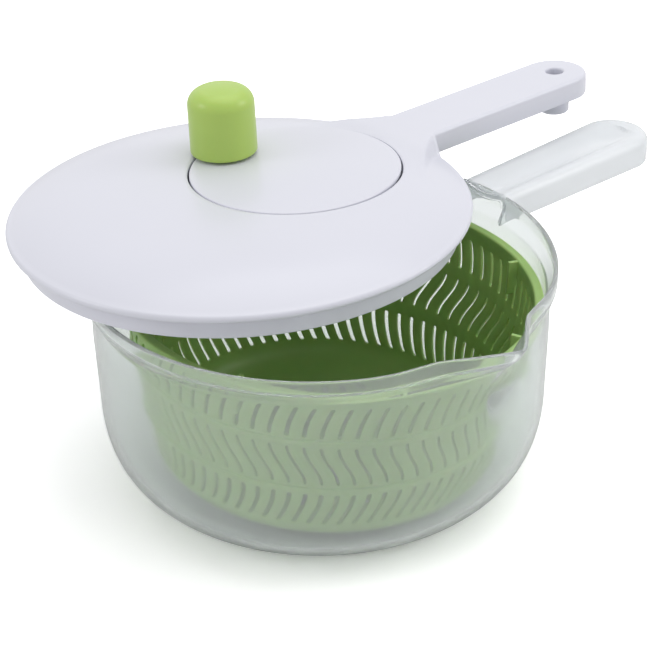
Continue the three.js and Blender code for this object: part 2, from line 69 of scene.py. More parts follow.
def pieceFrom(mesh, name, place=Matrix.Identity(4), smoothAngle=38):
    bmesh.ops.remove_doubles(mesh, verts=mesh.verts, dist=0.0008)
    bmesh.ops.dissolve_degenerate(mesh, edges=mesh.edges, dist=0.0005)
    bmesh.ops.recalc_face_normals(mesh, faces=mesh.faces)
    data = bpy.data.meshes.new(name)
    mesh.to_mesh(data)
    mesh.free()
    data.transform(place @ Matrix.Scale(mm, 4))
    data.shade_smooth()
    data.set_sharp_from_angle(angle=math.radians(smoothAngle))
    piece = bpy.data.objects.new(name, data)
    bpy.context.scene.collection.objects.link(piece)
    return piece


def roundedProfile(corners, steps=5):        # (radius, height, fillet) corners of a section
    points = []
    count = len(corners)
    for index, (radius, height, fillet) in enumerate(corners):
        here = Vector((radius, height))
        if not fillet:
            points.append(here)
            continue
        before = Vector(corners[index - 1][:2]) - here
        after = Vector(corners[(index + 1) % count][:2]) - here
        half = before.angle(after) / 2
        reach = min(fillet / math.tan(half), 0.49 * before.length, 0.49 * after.length)
        bend = reach * math.tan(half)
        centre = here + (before.normalized() + after.normalized()).normalized() * bend / math.sin(half)
        start = here + before.normalized() * reach - centre
        end = here + after.normalized() * reach - centre
        sweep = start.angle_signed(end)
        for step in range(steps + 1):
            arm = start.copy()
            arm.rotate(Matrix.Rotation(-sweep * step / steps, 2))
            points.append(centre + arm)
    return points


def addTurned(mesh, profile, segments=96, closed=False, shift=(0, 0), warp=None):
    rings = []
    for radius, height in profile:
        if radius < 1e-6:
            rings.append([mesh.verts.new((shift[0], shift[1], height))])
            continue
        ring = []
        for step in range(segments):
            turn = 2 * math.pi * step / segments
            point = Vector((radius * math.cos(turn), radius * math.sin(turn), height))
            if warp:
                point = warp(point)
            ring.append(mesh.verts.new((point.x + shift[0], point.y + shift[1], point.z)))
        rings.append(ring)
    pairs = list(zip(rings, rings[1:]))
    if closed:
        pairs.append((rings[-1], rings[0]))
    for low, high in pairs:
        for step in range(segments):
            nextStep = (step + 1) % segments
            corners = [low[step % len(low)], low[nextStep % len(low)]]
            corners += [high[nextStep % len(high)], high[step % len(high)]]
            corners = list(dict.fromkeys(corners))
            if len(corners) > 2:
                mesh.faces.new(corners)


def addBlock(mesh, size, centre, turn=0.0, edge=0.4):      # a small box with softened edges
    made = bmesh.ops.create_cube(mesh, size=1.0)["verts"]
    bmesh.ops.scale(mesh, vec=size, verts=made)
    edges = list({line for vert in made for line in vert.link_edges})
    softened = bmesh.ops.bevel(mesh, geom=edges, offset=edge, segments=2, profile=0.5, affect="EDGES")
    verts = list({vert for face in softened["faces"] for vert in face.verts})
    bmesh.ops.translate(mesh, vec=centre, verts=verts)
    bmesh.ops.rotate(mesh, cent=(0, 0, 0), matrix=Matrix.Rotation(turn, 3, "Z"), verts=verts)


def turnedPiece(name, corners, segments=96, place=Matrix.Identity(4), closed=False):
    mesh = bmesh.new()
    addTurned(mesh, roundedProfile(corners), segments, closed)
    return pieceFrom(mesh, name, place)


def combined(piece, tool, operation):          # a boolean, applied at once; the tool is used up
    cut = piece.modifiers.new("combine", "BOOLEAN")
    cut.operation = operation
    cut.solver = "MANIFOLD"
    cut.object = tool
    bpy.context.view_layer.update()
    made = bpy.data.meshes.new_from_object(piece.evaluated_get(bpy.context.evaluated_depsgraph_get()))
    piece.modifiers.clear()
    piece.data = made
    made.name = piece.name
    made.set_sharp_from_angle(angle=math.radians(38))
    bpy.data.objects.remove(tool)
    return piece


def smoothStep(low, high, value):
    share = min(max((value - low) / (high - low), 0.0), 1.0)
    return share * share * (3 - 2 * share)


def shoulder(floorRadius, sideRadius, floorHeight, sideHeight, steps, power=2.5):
    points = []
    for step in range(steps + 1):
        turn = math.pi / 2 * (1 - step / steps)
        out = math.cos(turn) ** (2 / power) if step else 0.0
        down = math.sin(turn) ** (2 / power)
        radius = floorRadius + (sideRadius - floorRadius) * out
        points.append((radius, sideHeight - (sideHeight - floorHeight) * down, 0))
    return points


# ---- materials ----

def noiseNode(nodes, links, scale, detail=2.0):
    coords = nodes.new("ShaderNodeTexCoord")
    noise = nodes.new("ShaderNodeTexNoise")
    noise.inputs["Scale"].default_value = scale
    noise.inputs["Detail"].default_value = detail
    links.new(coords.outputs["Object"], noise.inputs["Vector"])
    return noise


def mouldedPlastic(name, look):
    material = bpy.data.materials.new(name)
    material.use_nodes = True
    nodes = material.node_tree.nodes
    links = material.node_tree.links
    shader = nodes["Principled BSDF"]
    shader.inputs["IOR"].default_value = look.get("ior", 1.49)
    shader.inputs["Metallic"].default_value = look.get("metal", 0.0)
    shader.inputs["Transmission Weight"].default_value = look.get("clear", 0.0)
    shader.inputs["Subsurface Weight"].default_value = look.get("inside", 0.0)
    shader.inputs["Subsurface Scale"].default_value = 0.004
    shader.inputs["Coat Weight"].default_value = look.get("coat", 0.0)
    shader.inputs["Coat Roughness"].default_value = 0.08
    broad = noiseNode(nodes, links, look["patch"])
    tint = nodes.new("ShaderNodeMix")
    tint.data_type = "RGBA"
    tint.inputs["A"].default_value = (*look["colour"], 1)
    tint.inputs["B"].default_value = (*look["colourTwo"], 1)
    links.new(broad.outputs["Fac"], tint.inputs["Factor"])
    links.new(tint.outputs["Result"], shader.inputs["Base Color"])
    grain = noiseNode(nodes, links, look["grain"], 4.0)
    spread = nodes.new("ShaderNodeMapRange")
    spread.inputs["To Min"].default_value = look["rough"][0]
    spread.inputs["To Max"].default_value = look["rough"][1]
    links.new(grain.outputs["Fac"], spread.inputs["Value"])
    links.new(spread.outputs["Result"], shader.inputs["Roughness"])
    bump = nodes.new("ShaderNodeBump")
    bump.inputs["Strength"].default_value = look["bump"]
    bump.inputs["Distance"].default_value = 0.0002
    links.new(grain.outputs["Fac"], bump.inputs["Height"])
    links.new(bump.outputs["Normal"], shader.inputs["Normal"])
    if "lampShare" in look:     # lets the lamps reach what is inside the frosted wall
        letThrough(nodes, links, shader, look["lampShare"])
    return material


def letThrough(nodes, links, shader, share):
    passing = nodes.new("ShaderNodeBsdfTransparent")
    passing.inputs["Color"].default_value = (share, share, share, 1)
    path = nodes.new("ShaderNodeLightPath")
    pick = nodes.new("ShaderNodeMixShader")
    links.new(path.outputs["Is Shadow Ray"], pick.inputs[0])
    links.new(shader.outputs["BSDF"], pick.inputs[1])
    links.new(passing.outputs["BSDF"], pick.inputs[2])
    links.new(pick.outputs["Shader"], nodes["Material Output"].inputs["Surface"])


looks = {
    "frostedBowl": {"colour": (0.90, 0.93, 0.93), "colourTwo": (0.87, 0.905, 0.905), "patch": 14,
                    "grain": 60, "rough": (0.09, 0.13), "bump": 0.02, "clear": 0.82, "ior": 1.33,
                    "lampShare": 0.72},
    "frostedHandle": {"colour": (0.90, 0.92, 0.94), "colourTwo": (0.87, 0.895, 0.92), "patch": 14,
                      "grain": 60, "rough": (0.10, 0.14), "bump": 0.02, "clear": 0.30, "ior": 1.33,
                      "lampShare": 0.5},
    "glossWhite": {"colour": (0.70, 0.705, 0.78), "colourTwo": (0.68, 0.685, 0.76), "patch": 18,
                   "grain": 500, "rough": (0.26, 0.34), "bump": 0.04, "coat": 0.1},
    "basketGreen": {"colour": (0.34, 0.52, 0.16), "colourTwo": (0.30, 0.48, 0.135), "patch": 25,
                    "grain": 700, "rough": (0.34, 0.46), "bump": 0.10, "inside": 0.15},
    "knobGreen": {"colour": (0.44, 0.62, 0.13), "colourTwo": (0.41, 0.58, 0.115), "patch": 60,
                  "grain": 1500, "rough": (0.28, 0.36), "bump": 0.12, "inside": 0.05},
    "naturalNylon": {"colour": (0.72, 0.70, 0.62), "colourTwo": (0.66, 0.64, 0.56), "patch": 80,
                     "grain": 900, "rough": (0.40, 0.55), "bump": 0.12},
    "plainSteel": {"colour": (0.60, 0.61, 0.63), "colourTwo": (0.50, 0.51, 0.53), "patch": 300,
                   "grain": 2500, "rough": (0.22, 0.38), "bump": 0.20, "metal": 1.0},
}
finishes = {name: mouldedPlastic(name, look) for name, look in looks.items()}
slotFinish = {
    "frosted_bowl": "frostedBowl",
    "white_gloss": "glossWhite",
    "green_basket": "basketGreen",
    "green_knob": "knobGreen",
    "nylon": "naturalNylon",
    "steel": "plainSteel",
}


def finish(piece, slot, body, *nodes):
    piece.data.materials.clear()
    piece.data.materials.append(finishes[slotFinish[slot]])
    if nodes:
        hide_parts(*nodes)
    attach(piece, body)
    print("made", piece.name)


# ---- bowl ----

bowl = {
    "rim": 125.0, "height": bowlHigh.z / mm - 4.0, "wall": 2.5, "band": 11.0,
    "wallTop": 121.4, "side": 120.3, "shoulderTop": 58.0, "base": 64.0, "floor": 3.0,
    "spoutBearing": math.radians(-88), "spoutReach": 19.6, "spoutLift": 4.0, "spoutDepth": 27.0,
    "spoutHalf": math.radians(15.5), "crowding": 0.45, "flankPower": 1.6,
    "creaseRound": 0.003, "creaseOffset": 0.0548,
    "neck": 2.0, "neckPlace": 1.15, "neckSpread": 0.5,      # place and spread in half spout widths
    "pivot": 5.0, "pivotTop": 21.0, "boss": 10.0, "bossTop": 7.7,
    "tipX": 231.5, "tipRadius": 20.5, "rootHalf": 17.5, "depth": 17.0, "skin": 2.6,
    "troughDepth": 4.2, "troughHalf": 13.0, "edgeRound": 5.0,
}


def troughDrop(x, y):       # the shallow spoon hollow along the top of the handle
    along = smoothStep(108, 150, x) * (1 - smoothStep(bowl["tipX"] - 12, bowl["tipX"] + 7, x))
    across = max(1 - (y / bowl["troughHalf"]) ** 2, 0.0)
    return bowl["troughDepth"] * (0.35 + 0.65 * along) * across ** 1.4 if along or x < 150 else 0.0


def bowlWarp(point):
    radius = math.hypot(point.x, point.y)
    turn = math.atan2(point.y, point.x) - bowl["spoutBearing"]
    bearing = math.atan2(math.sin(turn), math.cos(turn))
    crowded = bearing - bowl["crowding"] * math.sin(bearing)
    rise = min(max((point.z - bowl["height"] + bowl["spoutDepth"]) / bowl["spoutDepth"], 0.0), 1.0)
    across = min(abs(crowded) / bowl["spoutHalf"], 1.0)
    flank = max(1 - (math.sqrt(across ** 2 + bowl["creaseRound"]) - bowl["creaseOffset"]), 0.0)
    beak = rise * flank ** bowl["flankPower"]      # two nearly flat flanks that meet in a crease
    fromNeck = (abs(crowded) / bowl["spoutHalf"] - bowl["neckPlace"]) / bowl["neckSpread"]
    pinch = bowl["neck"] * rise ** 2 * math.exp(-fromNeck ** 2)
    reach = radius + (bowl["spoutReach"] * beak - pinch if radius > 20 else 0.0)
    bearing = bowl["spoutBearing"] + crowded
    lifted = point.z + bowl["spoutLift"] * beak
    return Vector((reach * math.cos(bearing), reach * math.sin(bearing), lifted))


def bowlVessel(mesh):
    top = bowl["height"]
    bandLow = top - bowl["band"]
    inner = bowl["rim"] - bowl["wall"]
    outside = shoulder(bowl["base"], bowl["side"], 0, bowl["shoulderTop"], 26)
    inside = shoulder(bowl["base"] - 1, bowl["side"] - bowl["wall"], bowl["floor"], bowl["shoulderTop"], 24)
    spoutLow = top - bowl["spoutDepth"]
    wallInner = bowl["wallTop"] - bowl["wall"]
    corners = [(0, 0, 0)] + outside
    corners += [(bowl["wallTop"], spoutLow - 8, 0), (bowl["wallTop"], spoutLow, 0)]
    corners += [(bowl["wallTop"], bandLow - 4.0, 4.0), (bowl["rim"], bandLow + 3.0, 4.0)]
    corners += [(bowl["rim"], top, 1.15), (inner, top, 1.15), (inner, bandLow + 3.6, 3.0)]
    corners += [(wallInner, bandLow - 2.6, 4.0), (wallInner, spoutLow, 0)]
    corners += list(reversed(inside))
    corners += [(bowl["boss"] + 2, bowl["floor"], 3.0), (bowl["boss"], bowl["bossTop"], 0.8)]
    corners += [(bowl["pivot"], bowl["bossTop"], 1.0), (bowl["pivot"], bowl["pivotTop"] - 1, 2.2)]
    corners += [(0, bowl["pivotTop"], 0)]
    addTurned(mesh, roundedProfile(corners), 240, warp=bowlWarp)


def handleOutline():        # plan of the handle, root to tip and back, with its normals
    samples = []
    rootX = 118.0
    straight = 34
    lean = math.atan2(bowl["tipRadius"] - bowl["rootHalf"], bowl["tipX"] - rootX)
    for step in range(straight):
        share = step / straight
        x = rootX + (bowl["tipX"] - rootX) * share
        y = bowl["rootHalf"] + (bowl["tipRadius"] - bowl["rootHalf"]) * share
        samples.append((Vector((x, -y)), Vector((-math.sin(lean), -math.cos(lean)))))
    for step in range(29):
        turn = -math.pi / 2 - lean + (math.pi + 2 * lean) * step / 28
        normal = Vector((math.cos(turn), math.sin(turn)))
        samples.append((Vector((bowl["tipX"], 0)) + normal * bowl["tipRadius"], normal))
    mirrored = [(Vector((p.x, -p.y)), Vector((n.x, -n.y))) for p, n in samples[:straight]]
    return samples + mirrored[::-1]


def handleSection(top):     # (inset, height) rows from the crown over the edge and back up inside
    low = bowl["height"] - bowl["depth"]
    edge = bowl["edgeRound"]
    rows = []
    for step in range(7):
        turn = math.pi / 2 * step / 6
        rows.append((edge - edge * math.sin(turn), top - edge + edge * math.cos(turn)))
    rows += [(0.0, low + 4), (0.0, low + 1.1), (0.35, low + 0.3), (1.1, low), (1.7, low), (2.3, low + 0.5)]
    innerTop = top - bowl["skin"] - 1.0
    rows += [(bowl["skin"], low + 1.4), (bowl["skin"], innerTop - 3.4)]
    for step in range(1, 5):
        turn = math.pi / 2 * step / 4
        rows.append((bowl["skin"] + 2.4 - 2.4 * math.cos(turn), innerTop - 2.4 + 2.4 * math.sin(turn)))
    return rows


def bowlHandle(mesh):
    top = bowl["height"] - 0.15
    outline = handleOutline()
    rows = handleSection(top)
    spineSteps = 9
    columns = []
    for point, normal in outline:
        spine = Vector((min(point.x, bowl["tipX"]), 0))
        path = []
        edgePoint = point - normal * rows[0][0]
        for step in range(spineSteps):
            plan = spine.lerp(edgePoint, step / spineSteps)
            path.append(Vector((plan.x, plan.y, rows[0][1] - troughDrop(plan.x, plan.y))))
        for inset, height in rows:
            plan = point - normal * inset
            path.append(Vector((plan.x, plan.y, height)))
        innerEdge = point - normal * rows[-1][0]
        for step in range(spineSteps - 1, -1, -1):
            plan = spine.lerp(innerEdge, step / spineSteps)
            path.append(Vector((plan.x, plan.y, rows[-1][1] - troughDrop(plan.x, plan.y))))
        columns.append(path)
    bandLow = bowl["height"] - bowl["band"]
    for path in (columns[0], columns[-1]):
        for point in path:
            ramp = min(max((point.z - bandLow + 3.6) / 7.0, 0.0), 1.0)      # ends inside the wall
            reach = bowl["wallTop"] - 1.2 + (bowl["rim"] - bowl["wallTop"]) * ramp
            point.x = math.sqrt(reach ** 2 - point.y ** 2)
    made = [[mesh.verts.new(point) for point in path] for path in columns]
    for left, right in zip(made, made[1:]):
        for row in range(len(left) - 1):
            mesh.faces.new((left[row], left[row + 1], right[row + 1], right[row]))
    bmesh.ops.remove_doubles(mesh, verts=mesh.verts, dist=0.001)
    bmesh.ops.holes_fill(mesh, edges=mesh.edges, sides=0)
    bmesh.ops.triangulate(mesh, faces=[face for face in mesh.faces if len(face.verts) > 4])


def makeBowl():
    vessel = bmesh.new()
    bowlVessel(vessel)
    handle = bmesh.new()
    bowlHandle(handle)
    piece = pieceFrom(vessel, "bowl_moulding")
    combined(piece, pieceFrom(handle, "handle_blank"), "UNION")
    finish(piece, "frosted_bowl", "bowl", "bowl")
    piece.data.materials.append(finishes["frostedHandle"])      # the thick handle looks milkier
    rim = (bowl["rim"] + 0.2) * mm
    for face in piece.data.polygons:
        if face.center.x > 0.1 and face.center.xy.length > rim:
            face.material_index = 1


makeBowl()


# ---- basket ----

basket = {
    "floor": 8.6, "wall": 2.0, "rimTop": 112.0, "rim": 112.6, "top": 109.3, "base": 64.0,
    "taper": [(94.4, 28.0), (98.2, 42.0), (102.2, 61.0), (107.1, 88.0), (109.3, 101.0), (109.3, 120.0)],
    "slots": 76, "power": 2.5, "driftRadius": 105.0,      # drifts are arc lengths at driftRadius
    "bands": [      # low, high, drift along the wall, half width and bend of each band of slots
        {"low": 24.5, "high": 46.0, "drift": 7.0, "half": 1.25, "bend": "low"},
        {"low": 53.0, "high": 78.0, "drift": -9.5, "half": 0.85, "bend": "both"},
        {"low": 84.6, "high": 103.6, "drift": 5.0, "half": 1.15, "bend": "high"},
    ],
    "ribs": [49.5, 81.4], "driveRibs": 8, "floorSlots": 30,
}


def basketRadius(height):       # outer radius of the wall at a height
    taper = basket["taper"]
    sideRadius, sideHeight = taper[0]
    if height < sideHeight:
        down = min(max((sideHeight - height) / (sideHeight - basket["floor"]), 0.0), 1.0)
        turn = math.asin(down ** (basket["power"] / 2))
        return basket["base"] + (sideRadius - basket["base"]) * math.cos(turn) ** (2 / basket["power"])
    for (lowRadius, low), (highRadius, high) in zip(taper, taper[1:]):
        if height <= high:
            return lowRadius + (highRadius - lowRadius) * (height - low) / (high - low)
    return taper[-1][0]


def bandDrift(band, height):    # how far round the wall a slot has drifted since the band's foot
    share = min(max((height - band["low"]) / (band["high"] - band["low"]), 0.0), 1.0)
    if band["bend"] == "both":
        return band["drift"] * share * share * (3 - 2 * share)
    if band["bend"] == "low":
        return band["drift"] * (1 - (1 - share) ** 1.8)
    return band["drift"] * share ** 1.6


def slotRows():     # (height, drift, half width, open above) rows up the wall
    rows = [(basket["floor"] + 0.02, 0.0, 0.7, False)]
    for step in range(1, 8):
        down = math.sin(math.pi / 2 * (1 - step / 8)) ** (2 / basket["power"])
        height = basket["taper"][0][1] * (1 - down) + basket["floor"] * down
        if height < basket["bands"][0]["low"] - 1:
            rows.append((height, 0.0, 0.7, False))
    drift = 0.0
    for band in basket["bands"]:
        span = band["high"] - band["low"]
        half = band["half"]
        count = 9
        heights = [(0.0, 0.5), (0.35, 0.85), (1.0, 1.0)]
        heights += [(1.0 + (span - 2.0) * step / count, 1.0) for step in range(1, count)]
        heights += [(span - 1.0, 1.0), (span - 0.35, 0.85), (span, 0.5)]
        for index, (rise, width) in enumerate(heights):
            height = band["low"] + rise
            isOpen = index < len(heights) - 1
            rows.append((height, drift + bandDrift(band, height), half * width, isOpen))
        drift += band["drift"]
    rows += [(basket["rimTop"] - 6, drift, 0.7, False), (basket["rimTop"] - 2.2, drift, 0.7, False)]
    return rows


def addSlottedSheet(mesh, rows, count):      # rows of (radius, height, drift, half width, open)
    rings = []
    for radius, height, drift, half, isOpen in rows:
        pitch = 2 * math.pi / count
        halfTurn = half / max(radius, 1.0)
        ring = []
        for slot in range(count):
            middle = pitch * slot + drift / basket["driftRadius"]
            for side in (-halfTurn, halfTurn, pitch / 2):
                turn = middle + side
                ring.append(mesh.verts.new((radius * math.cos(turn), radius * math.sin(turn), height)))
        rings.append((ring, isOpen))
    for (low, isOpen), (high, _) in zip(rings, rings[1:]):
        total = len(low)
        for column in range(total):
            if isOpen and column % 3 == 0:
                continue
            after = (column + 1) % total
            mesh.faces.new((low[column], low[after], high[after], high[column]))


def thickened(piece, thickness, offset):
    skin = piece.modifiers.new("skin", "SOLIDIFY")
    skin.thickness = thickness * mm
    skin.offset = offset
    skin.use_even_offset = True
    edges = piece.modifiers.new("edges", "BEVEL")
    edges.width = 0.3 * mm
    edges.segments = 2
    edges.limit_method = "ANGLE"
    edges.angle_limit = math.radians(50)
    bpy.context.view_layer.update()
    made = bpy.data.meshes.new_from_object(piece.evaluated_get(bpy.context.evaluated_depsgraph_get()))
    piece.modifiers.clear()
    piece.data = made
    made.set_sharp_from_angle(angle=math.radians(38))


def joinPieces(first, others):
    with bpy.context.temp_override(active_object=first, selected_editable_objects=[first, *others]):
        bpy.ops.object.join()
    return first


def makeBasket():
    wall = bmesh.new()
    rows = [(basketRadius(row[0]), *row) for row in slotRows()]
    addSlottedSheet(wall, rows, basket["slots"])
    wallPiece = pieceFrom(wall, "basket_moulding", basketFrame)
    thickened(wallPiece, basket["wall"], -1)
    floor = bmesh.new()
    low = basket["floor"]
    floorRows = [(12.0, 0), (17.0, 0), (18.0, 1), (20.0, 1), (33.0, 1), (35.0, 1), (36.0, 0), (41.0, 0)]
    floorRows += [(42.0, 1), (44.0, 1), (56.0, 1), (58.0, 1), (59.0, 0), (basketRadius(low + 0.02), 0)]
    widths = {18.0: 0.5, 36.0: 0.5, 42.0: 0.5, 59.0: 0.5}
    rows = [(radius, low, 0.0, 1.2 * widths.get(radius, 1.0), bool(isOpen)) for radius, isOpen in floorRows]
    addSlottedSheet(floor, rows, basket["floorSlots"])
    floorPiece = pieceFrom(floor, "basket_floor", basketFrame)
    thickened(floorPiece, basket["wall"], 1)
    trim = bmesh.new()
    top = basket["rimTop"]
    rimCorners = [(basket["top"] - 2.0, top - 6, 0.6), (basket["top"] - 0.1, top - 6, 0.6)]
    rimCorners += [(basket["top"], top - 3.6, 0.8), (basket["rim"], top - 3.2, 0.9)]
    rimCorners += [(basket["rim"], top, 1.2), (basket["top"] - 2.0, top, 1.2)]
    addTurned(trim, roundedProfile(rimCorners), 168, closed=True)
    for height in basket["ribs"]:
        skin = basketRadius(height)
        ribCorners = [(skin - 1.0, height - 2.2, 0), (skin + 0.2, height - 2.0, 0.8)]
        ribCorners += [(skin + 1.2, height - 1.2, 0.7), (skin + 1.2, height + 1.2, 0.7)]
        ribCorners += [(skin + 0.2, height + 2.0, 0.8), (skin - 1.0, height + 2.2, 0)]
        addTurned(trim, roundedProfile(ribCorners), 168, closed=True)
    hubCorners = [(6.6, low + 0.1, 0), (13.0, low + 0.1, 0), (13.0, low + 2.0, 0.6), (10.6, low + 2.0, 1.5)]
    hubCorners += [(9.8, 24.0, 1.2), (0, 24.0, 0), (0, 21.5, 0), (6.6, 21.5, 0)]
    addTurned(trim, roundedProfile(hubCorners), 64, closed=True)
    for rib in range(basket["driveRibs"]):
        turn = 2 * math.pi * (rib + 0.5) / basket["driveRibs"]
        addBlock(trim, (6.0, 2.4, 19.6), (basket["top"] - 4.2, 0, top - 10.2), turn, 0.5)
    trimPiece = pieceFrom(trim, "basket_trim", basketFrame)
    piece = joinPieces(wallPiece, [floorPiece, trimPiece])
    finish(piece, "green_basket", "basket", "basket")


makeBasket()


# ---- lid cover ----

lid = {
    "radius": 123.9, "crown": 11.5, "power": 6, "skin": 2.6, "skirt": 117.0, "skirtInner": 114.8,
    "skirtBottom": -14.5, "tabs": 8, "armHalf": 19.0, "armTip": 235.5, "armBottom": -1.4,
    "flare": 3.0, "edge": 2.3, "well": 58.2, "holeX": 236.0, "hole": 5.1, "collar": 8.8,
    "collarBottom": -13.4,
}


def crownHeight(radius):
    return lid["crown"] * (1 - min(radius / lid["radius"], 1.02) ** lid["power"])


def lidHeight(point):       # top face: a dome, with the arm's flat land rising out of it beside the crank
    dome = crownHeight(point.length)
    spread = lid["armHalf"] + 24 * max((134 - point.x) / 40, 0.0) ** 1.7
    land = 1 - smoothStep(spread - 3.2, spread + 3.2, abs(point.y))
    if point.x > 125:
        land = 1.0
    land *= smoothStep(80, 106, point.x)
    return dome + (lid["crown"] - dome) * land


def lidOutline():           # plan of lid and arm, counter-clockwise, as (point, normal, how much it is arm)
    rise = lid["armHalf"] + lid["flare"]
    centreX = math.sqrt((lid["radius"] + lid["flare"]) ** 2 - rise ** 2)
    meet = math.atan2(rise, centreX)
    samples = []
    for step in range(15):
        turn = -math.pi / 2 + math.pi / 2 * step / 14
        normal = Vector((math.cos(turn), math.sin(turn)))
        samples.append((Vector((lid["armTip"], 0)) + normal * lid["armHalf"], normal, 1.0))
    for step in range(1, 15):
        turn = math.pi / 2 * step / 14
        normal = Vector((math.cos(turn), math.sin(turn)))
        samples.append((Vector((lid["armTip"], 0)) + normal * lid["armHalf"], normal, 1.0))
    for step in range(1, 30):
        x = lid["armTip"] + (centreX - lid["armTip"]) * step / 30
        samples.append((Vector((x, lid["armHalf"])), Vector((0, 1)), 1.0))
    bendCentre = Vector((centreX, rise))
    for step in range(19):
        turn = -math.pi / 2 + (meet - math.pi / 2) * step / 18
        arm = Vector((math.cos(turn), math.sin(turn)))
        samples.append((bendCentre + arm * lid["flare"], -arm, 1 - smoothStep(0.15, 0.95, step / 18)))
    for step in range(1, 280):      # closer together beside the arm
        share = step / 280 - 0.8 * math.sin(2 * math.pi * step / 280) / (2 * math.pi)
        turn = meet + (2 * math.pi - 2 * meet) * share
        normal = Vector((math.cos(turn), math.sin(turn)))
        samples.append((normal * lid["radius"], normal, 0.0))
    mirrored = [(Vector((p.x, -p.y)), Vector((n.x, -n.y)), armness) for p, n, armness in samples[29:77]]
    return samples + mirrored[::-1]


def edgeRows(armness, topHeight):       # (inset, height) rows over the edge and back under it
    edge = lid["edge"]
    rows = []
    for step in range(7):
        turn = math.pi / 2 * step / 6
        rows.append((edge - edge * math.sin(turn), topHeight - edge * (1 - math.cos(turn))))
    plain = [(0.15, -1.9), (0.7, -2.6), (1.5, -3.0), (2.2, -3.0), (2.6, -2.8)]
    armFoot = lid["armBottom"]
    armRows = [(0.0, armFoot + 1.3), (0.3, armFoot + 0.4), (0.9, armFoot), (1.6, armFoot)]
    armRows += [(2.4, armFoot + 0.6)]
    for (insetOne, heightOne), (insetTwo, heightTwo) in zip(plain, armRows):
        inset = insetOne + (insetTwo - insetOne) * armness
        rows.append((inset, heightOne + (heightTwo - heightOne) * armness))
    return rows


def lidShell(mesh):
    outline = lidOutline()
    wellCentre = crankFromLid
    topSteps = 44
    columns = []
    for point, normal, armness in outline:
        edgePoint = point - normal * lid["edge"]
        inward = (edgePoint - wellCentre).normalized()
        start = wellCentre + inward * (lid["well"] + 0.7)
        column = []
        wellPoint = wellCentre + inward * lid["well"]
        under = lidHeight(wellPoint) - lid["skin"]
        column.append((wellPoint.x, wellPoint.y, under))
        column.append((wellPoint.x, wellPoint.y, lidHeight(wellPoint) - 0.7))
        lipPoint = wellCentre + inward * (lid["well"] + 0.2)
        column.append((lipPoint.x, lipPoint.y, lidHeight(lipPoint) - 0.2))
        for step in range(topSteps + 1):
            plan = start.lerp(edgePoint, step / topSteps)
            column.append((plan.x, plan.y, lidHeight(plan)))
        for inset, height in edgeRows(armness, lidHeight(edgePoint))[1:]:
            plan = point - normal * inset
            column.append((plan.x, plan.y, height))
        innerPoint = point - normal * 2.6
        for step in range(topSteps, 0, -1):
            plan = wellPoint.lerp(innerPoint, step / topSteps)
            column.append((plan.x, plan.y, lidHeight(plan) - lid["skin"]))
        columns.append([mesh.verts.new(place) for place in column])
    count = len(columns)
    for index in range(count):
        left = columns[index]
        right = columns[(index + 1) % count]
        for row in range(len(left)):
            after = (row + 1) % len(left)
            mesh.faces.new((left[row], right[row], right[after], left[after]))


def makeLid():
    shell = bmesh.new()
    lidShell(shell)
    piece = pieceFrom(shell, "lid_moulding", lidFrame)
    fitted = bmesh.new()
    skirtCorners = [(lid["skirt"], -1.6, 0), (lid["skirt"], lid["skirtBottom"], 0.9)]
    skirtCorners += [(lid["skirtInner"], lid["skirtBottom"], 0.9), (lid["skirtInner"], -1.0, 0)]
    addTurned(fitted, roundedProfile(skirtCorners), 220, closed=True)
    combined(piece, pieceFrom(fitted, "skirt", lidFrame), "UNION")
    collar = bmesh.new()
    collarTop = lid["crown"] - 1.4
    collarCorners = [(0, collarTop, 0), (lid["collar"], collarTop, 0)]
    collarCorners += [(lid["collar"], lid["collarBottom"], 1.2), (0, lid["collarBottom"], 0)]
    addTurned(collar, roundedProfile(collarCorners), 64, shift=(lid["holeX"], 0))
    combined(piece, pieceFrom(collar, "collar", lidFrame), "UNION")
    hole = bmesh.new()
    lip = 1.5
    holeTop = lid["crown"] + 0.02
    holeCorners = [(0, holeTop + 3, 0), (lid["hole"] + 3, holeTop + 3, 0)]
    holeCorners += [(lid["hole"] + 3, holeTop, 0)]
    for step in range(7):
        turn = math.pi / 2 * step / 6
        height = holeTop - lip + lip * math.cos(turn)
        holeCorners.append((lid["hole"] + lip * (1 - math.sin(turn)), height, 0))
    holeCorners += [(lid["hole"], lid["collarBottom"] - 2, 0), (0, lid["collarBottom"] - 2, 0)]
    addTurned(hole, roundedProfile(holeCorners), 64, shift=(lid["holeX"], 0))
    combined(piece, pieceFrom(hole, "hole", lidFrame), "DIFFERENCE")
    tabs = bmesh.new()
    for tab in range(lid["tabs"]):
        turn = 2 * math.pi * (tab + 0.5) / lid["tabs"]
        addBlock(tabs, (2.0, 5.0, 4.4), (lid["skirt"] - 0.35, 0, -4.4), turn, 0.35)
    for screw in range(6):
        turn = math.radians(50 + 60 * screw)
        centre = (108 * math.cos(turn), 108 * math.sin(turn))
        addTurned(tabs, [(0, -6.2), (4.5, -6.2), (4.5, 5.0), (0, 5.0)], 32, shift=centre)
    piece = joinPieces(piece, [pieceFrom(tabs, "tabs", lidFrame)])
    finish(piece, "white_gloss", "lid", "lid_cover")


makeLid()


# ---- crank disc and knob ----

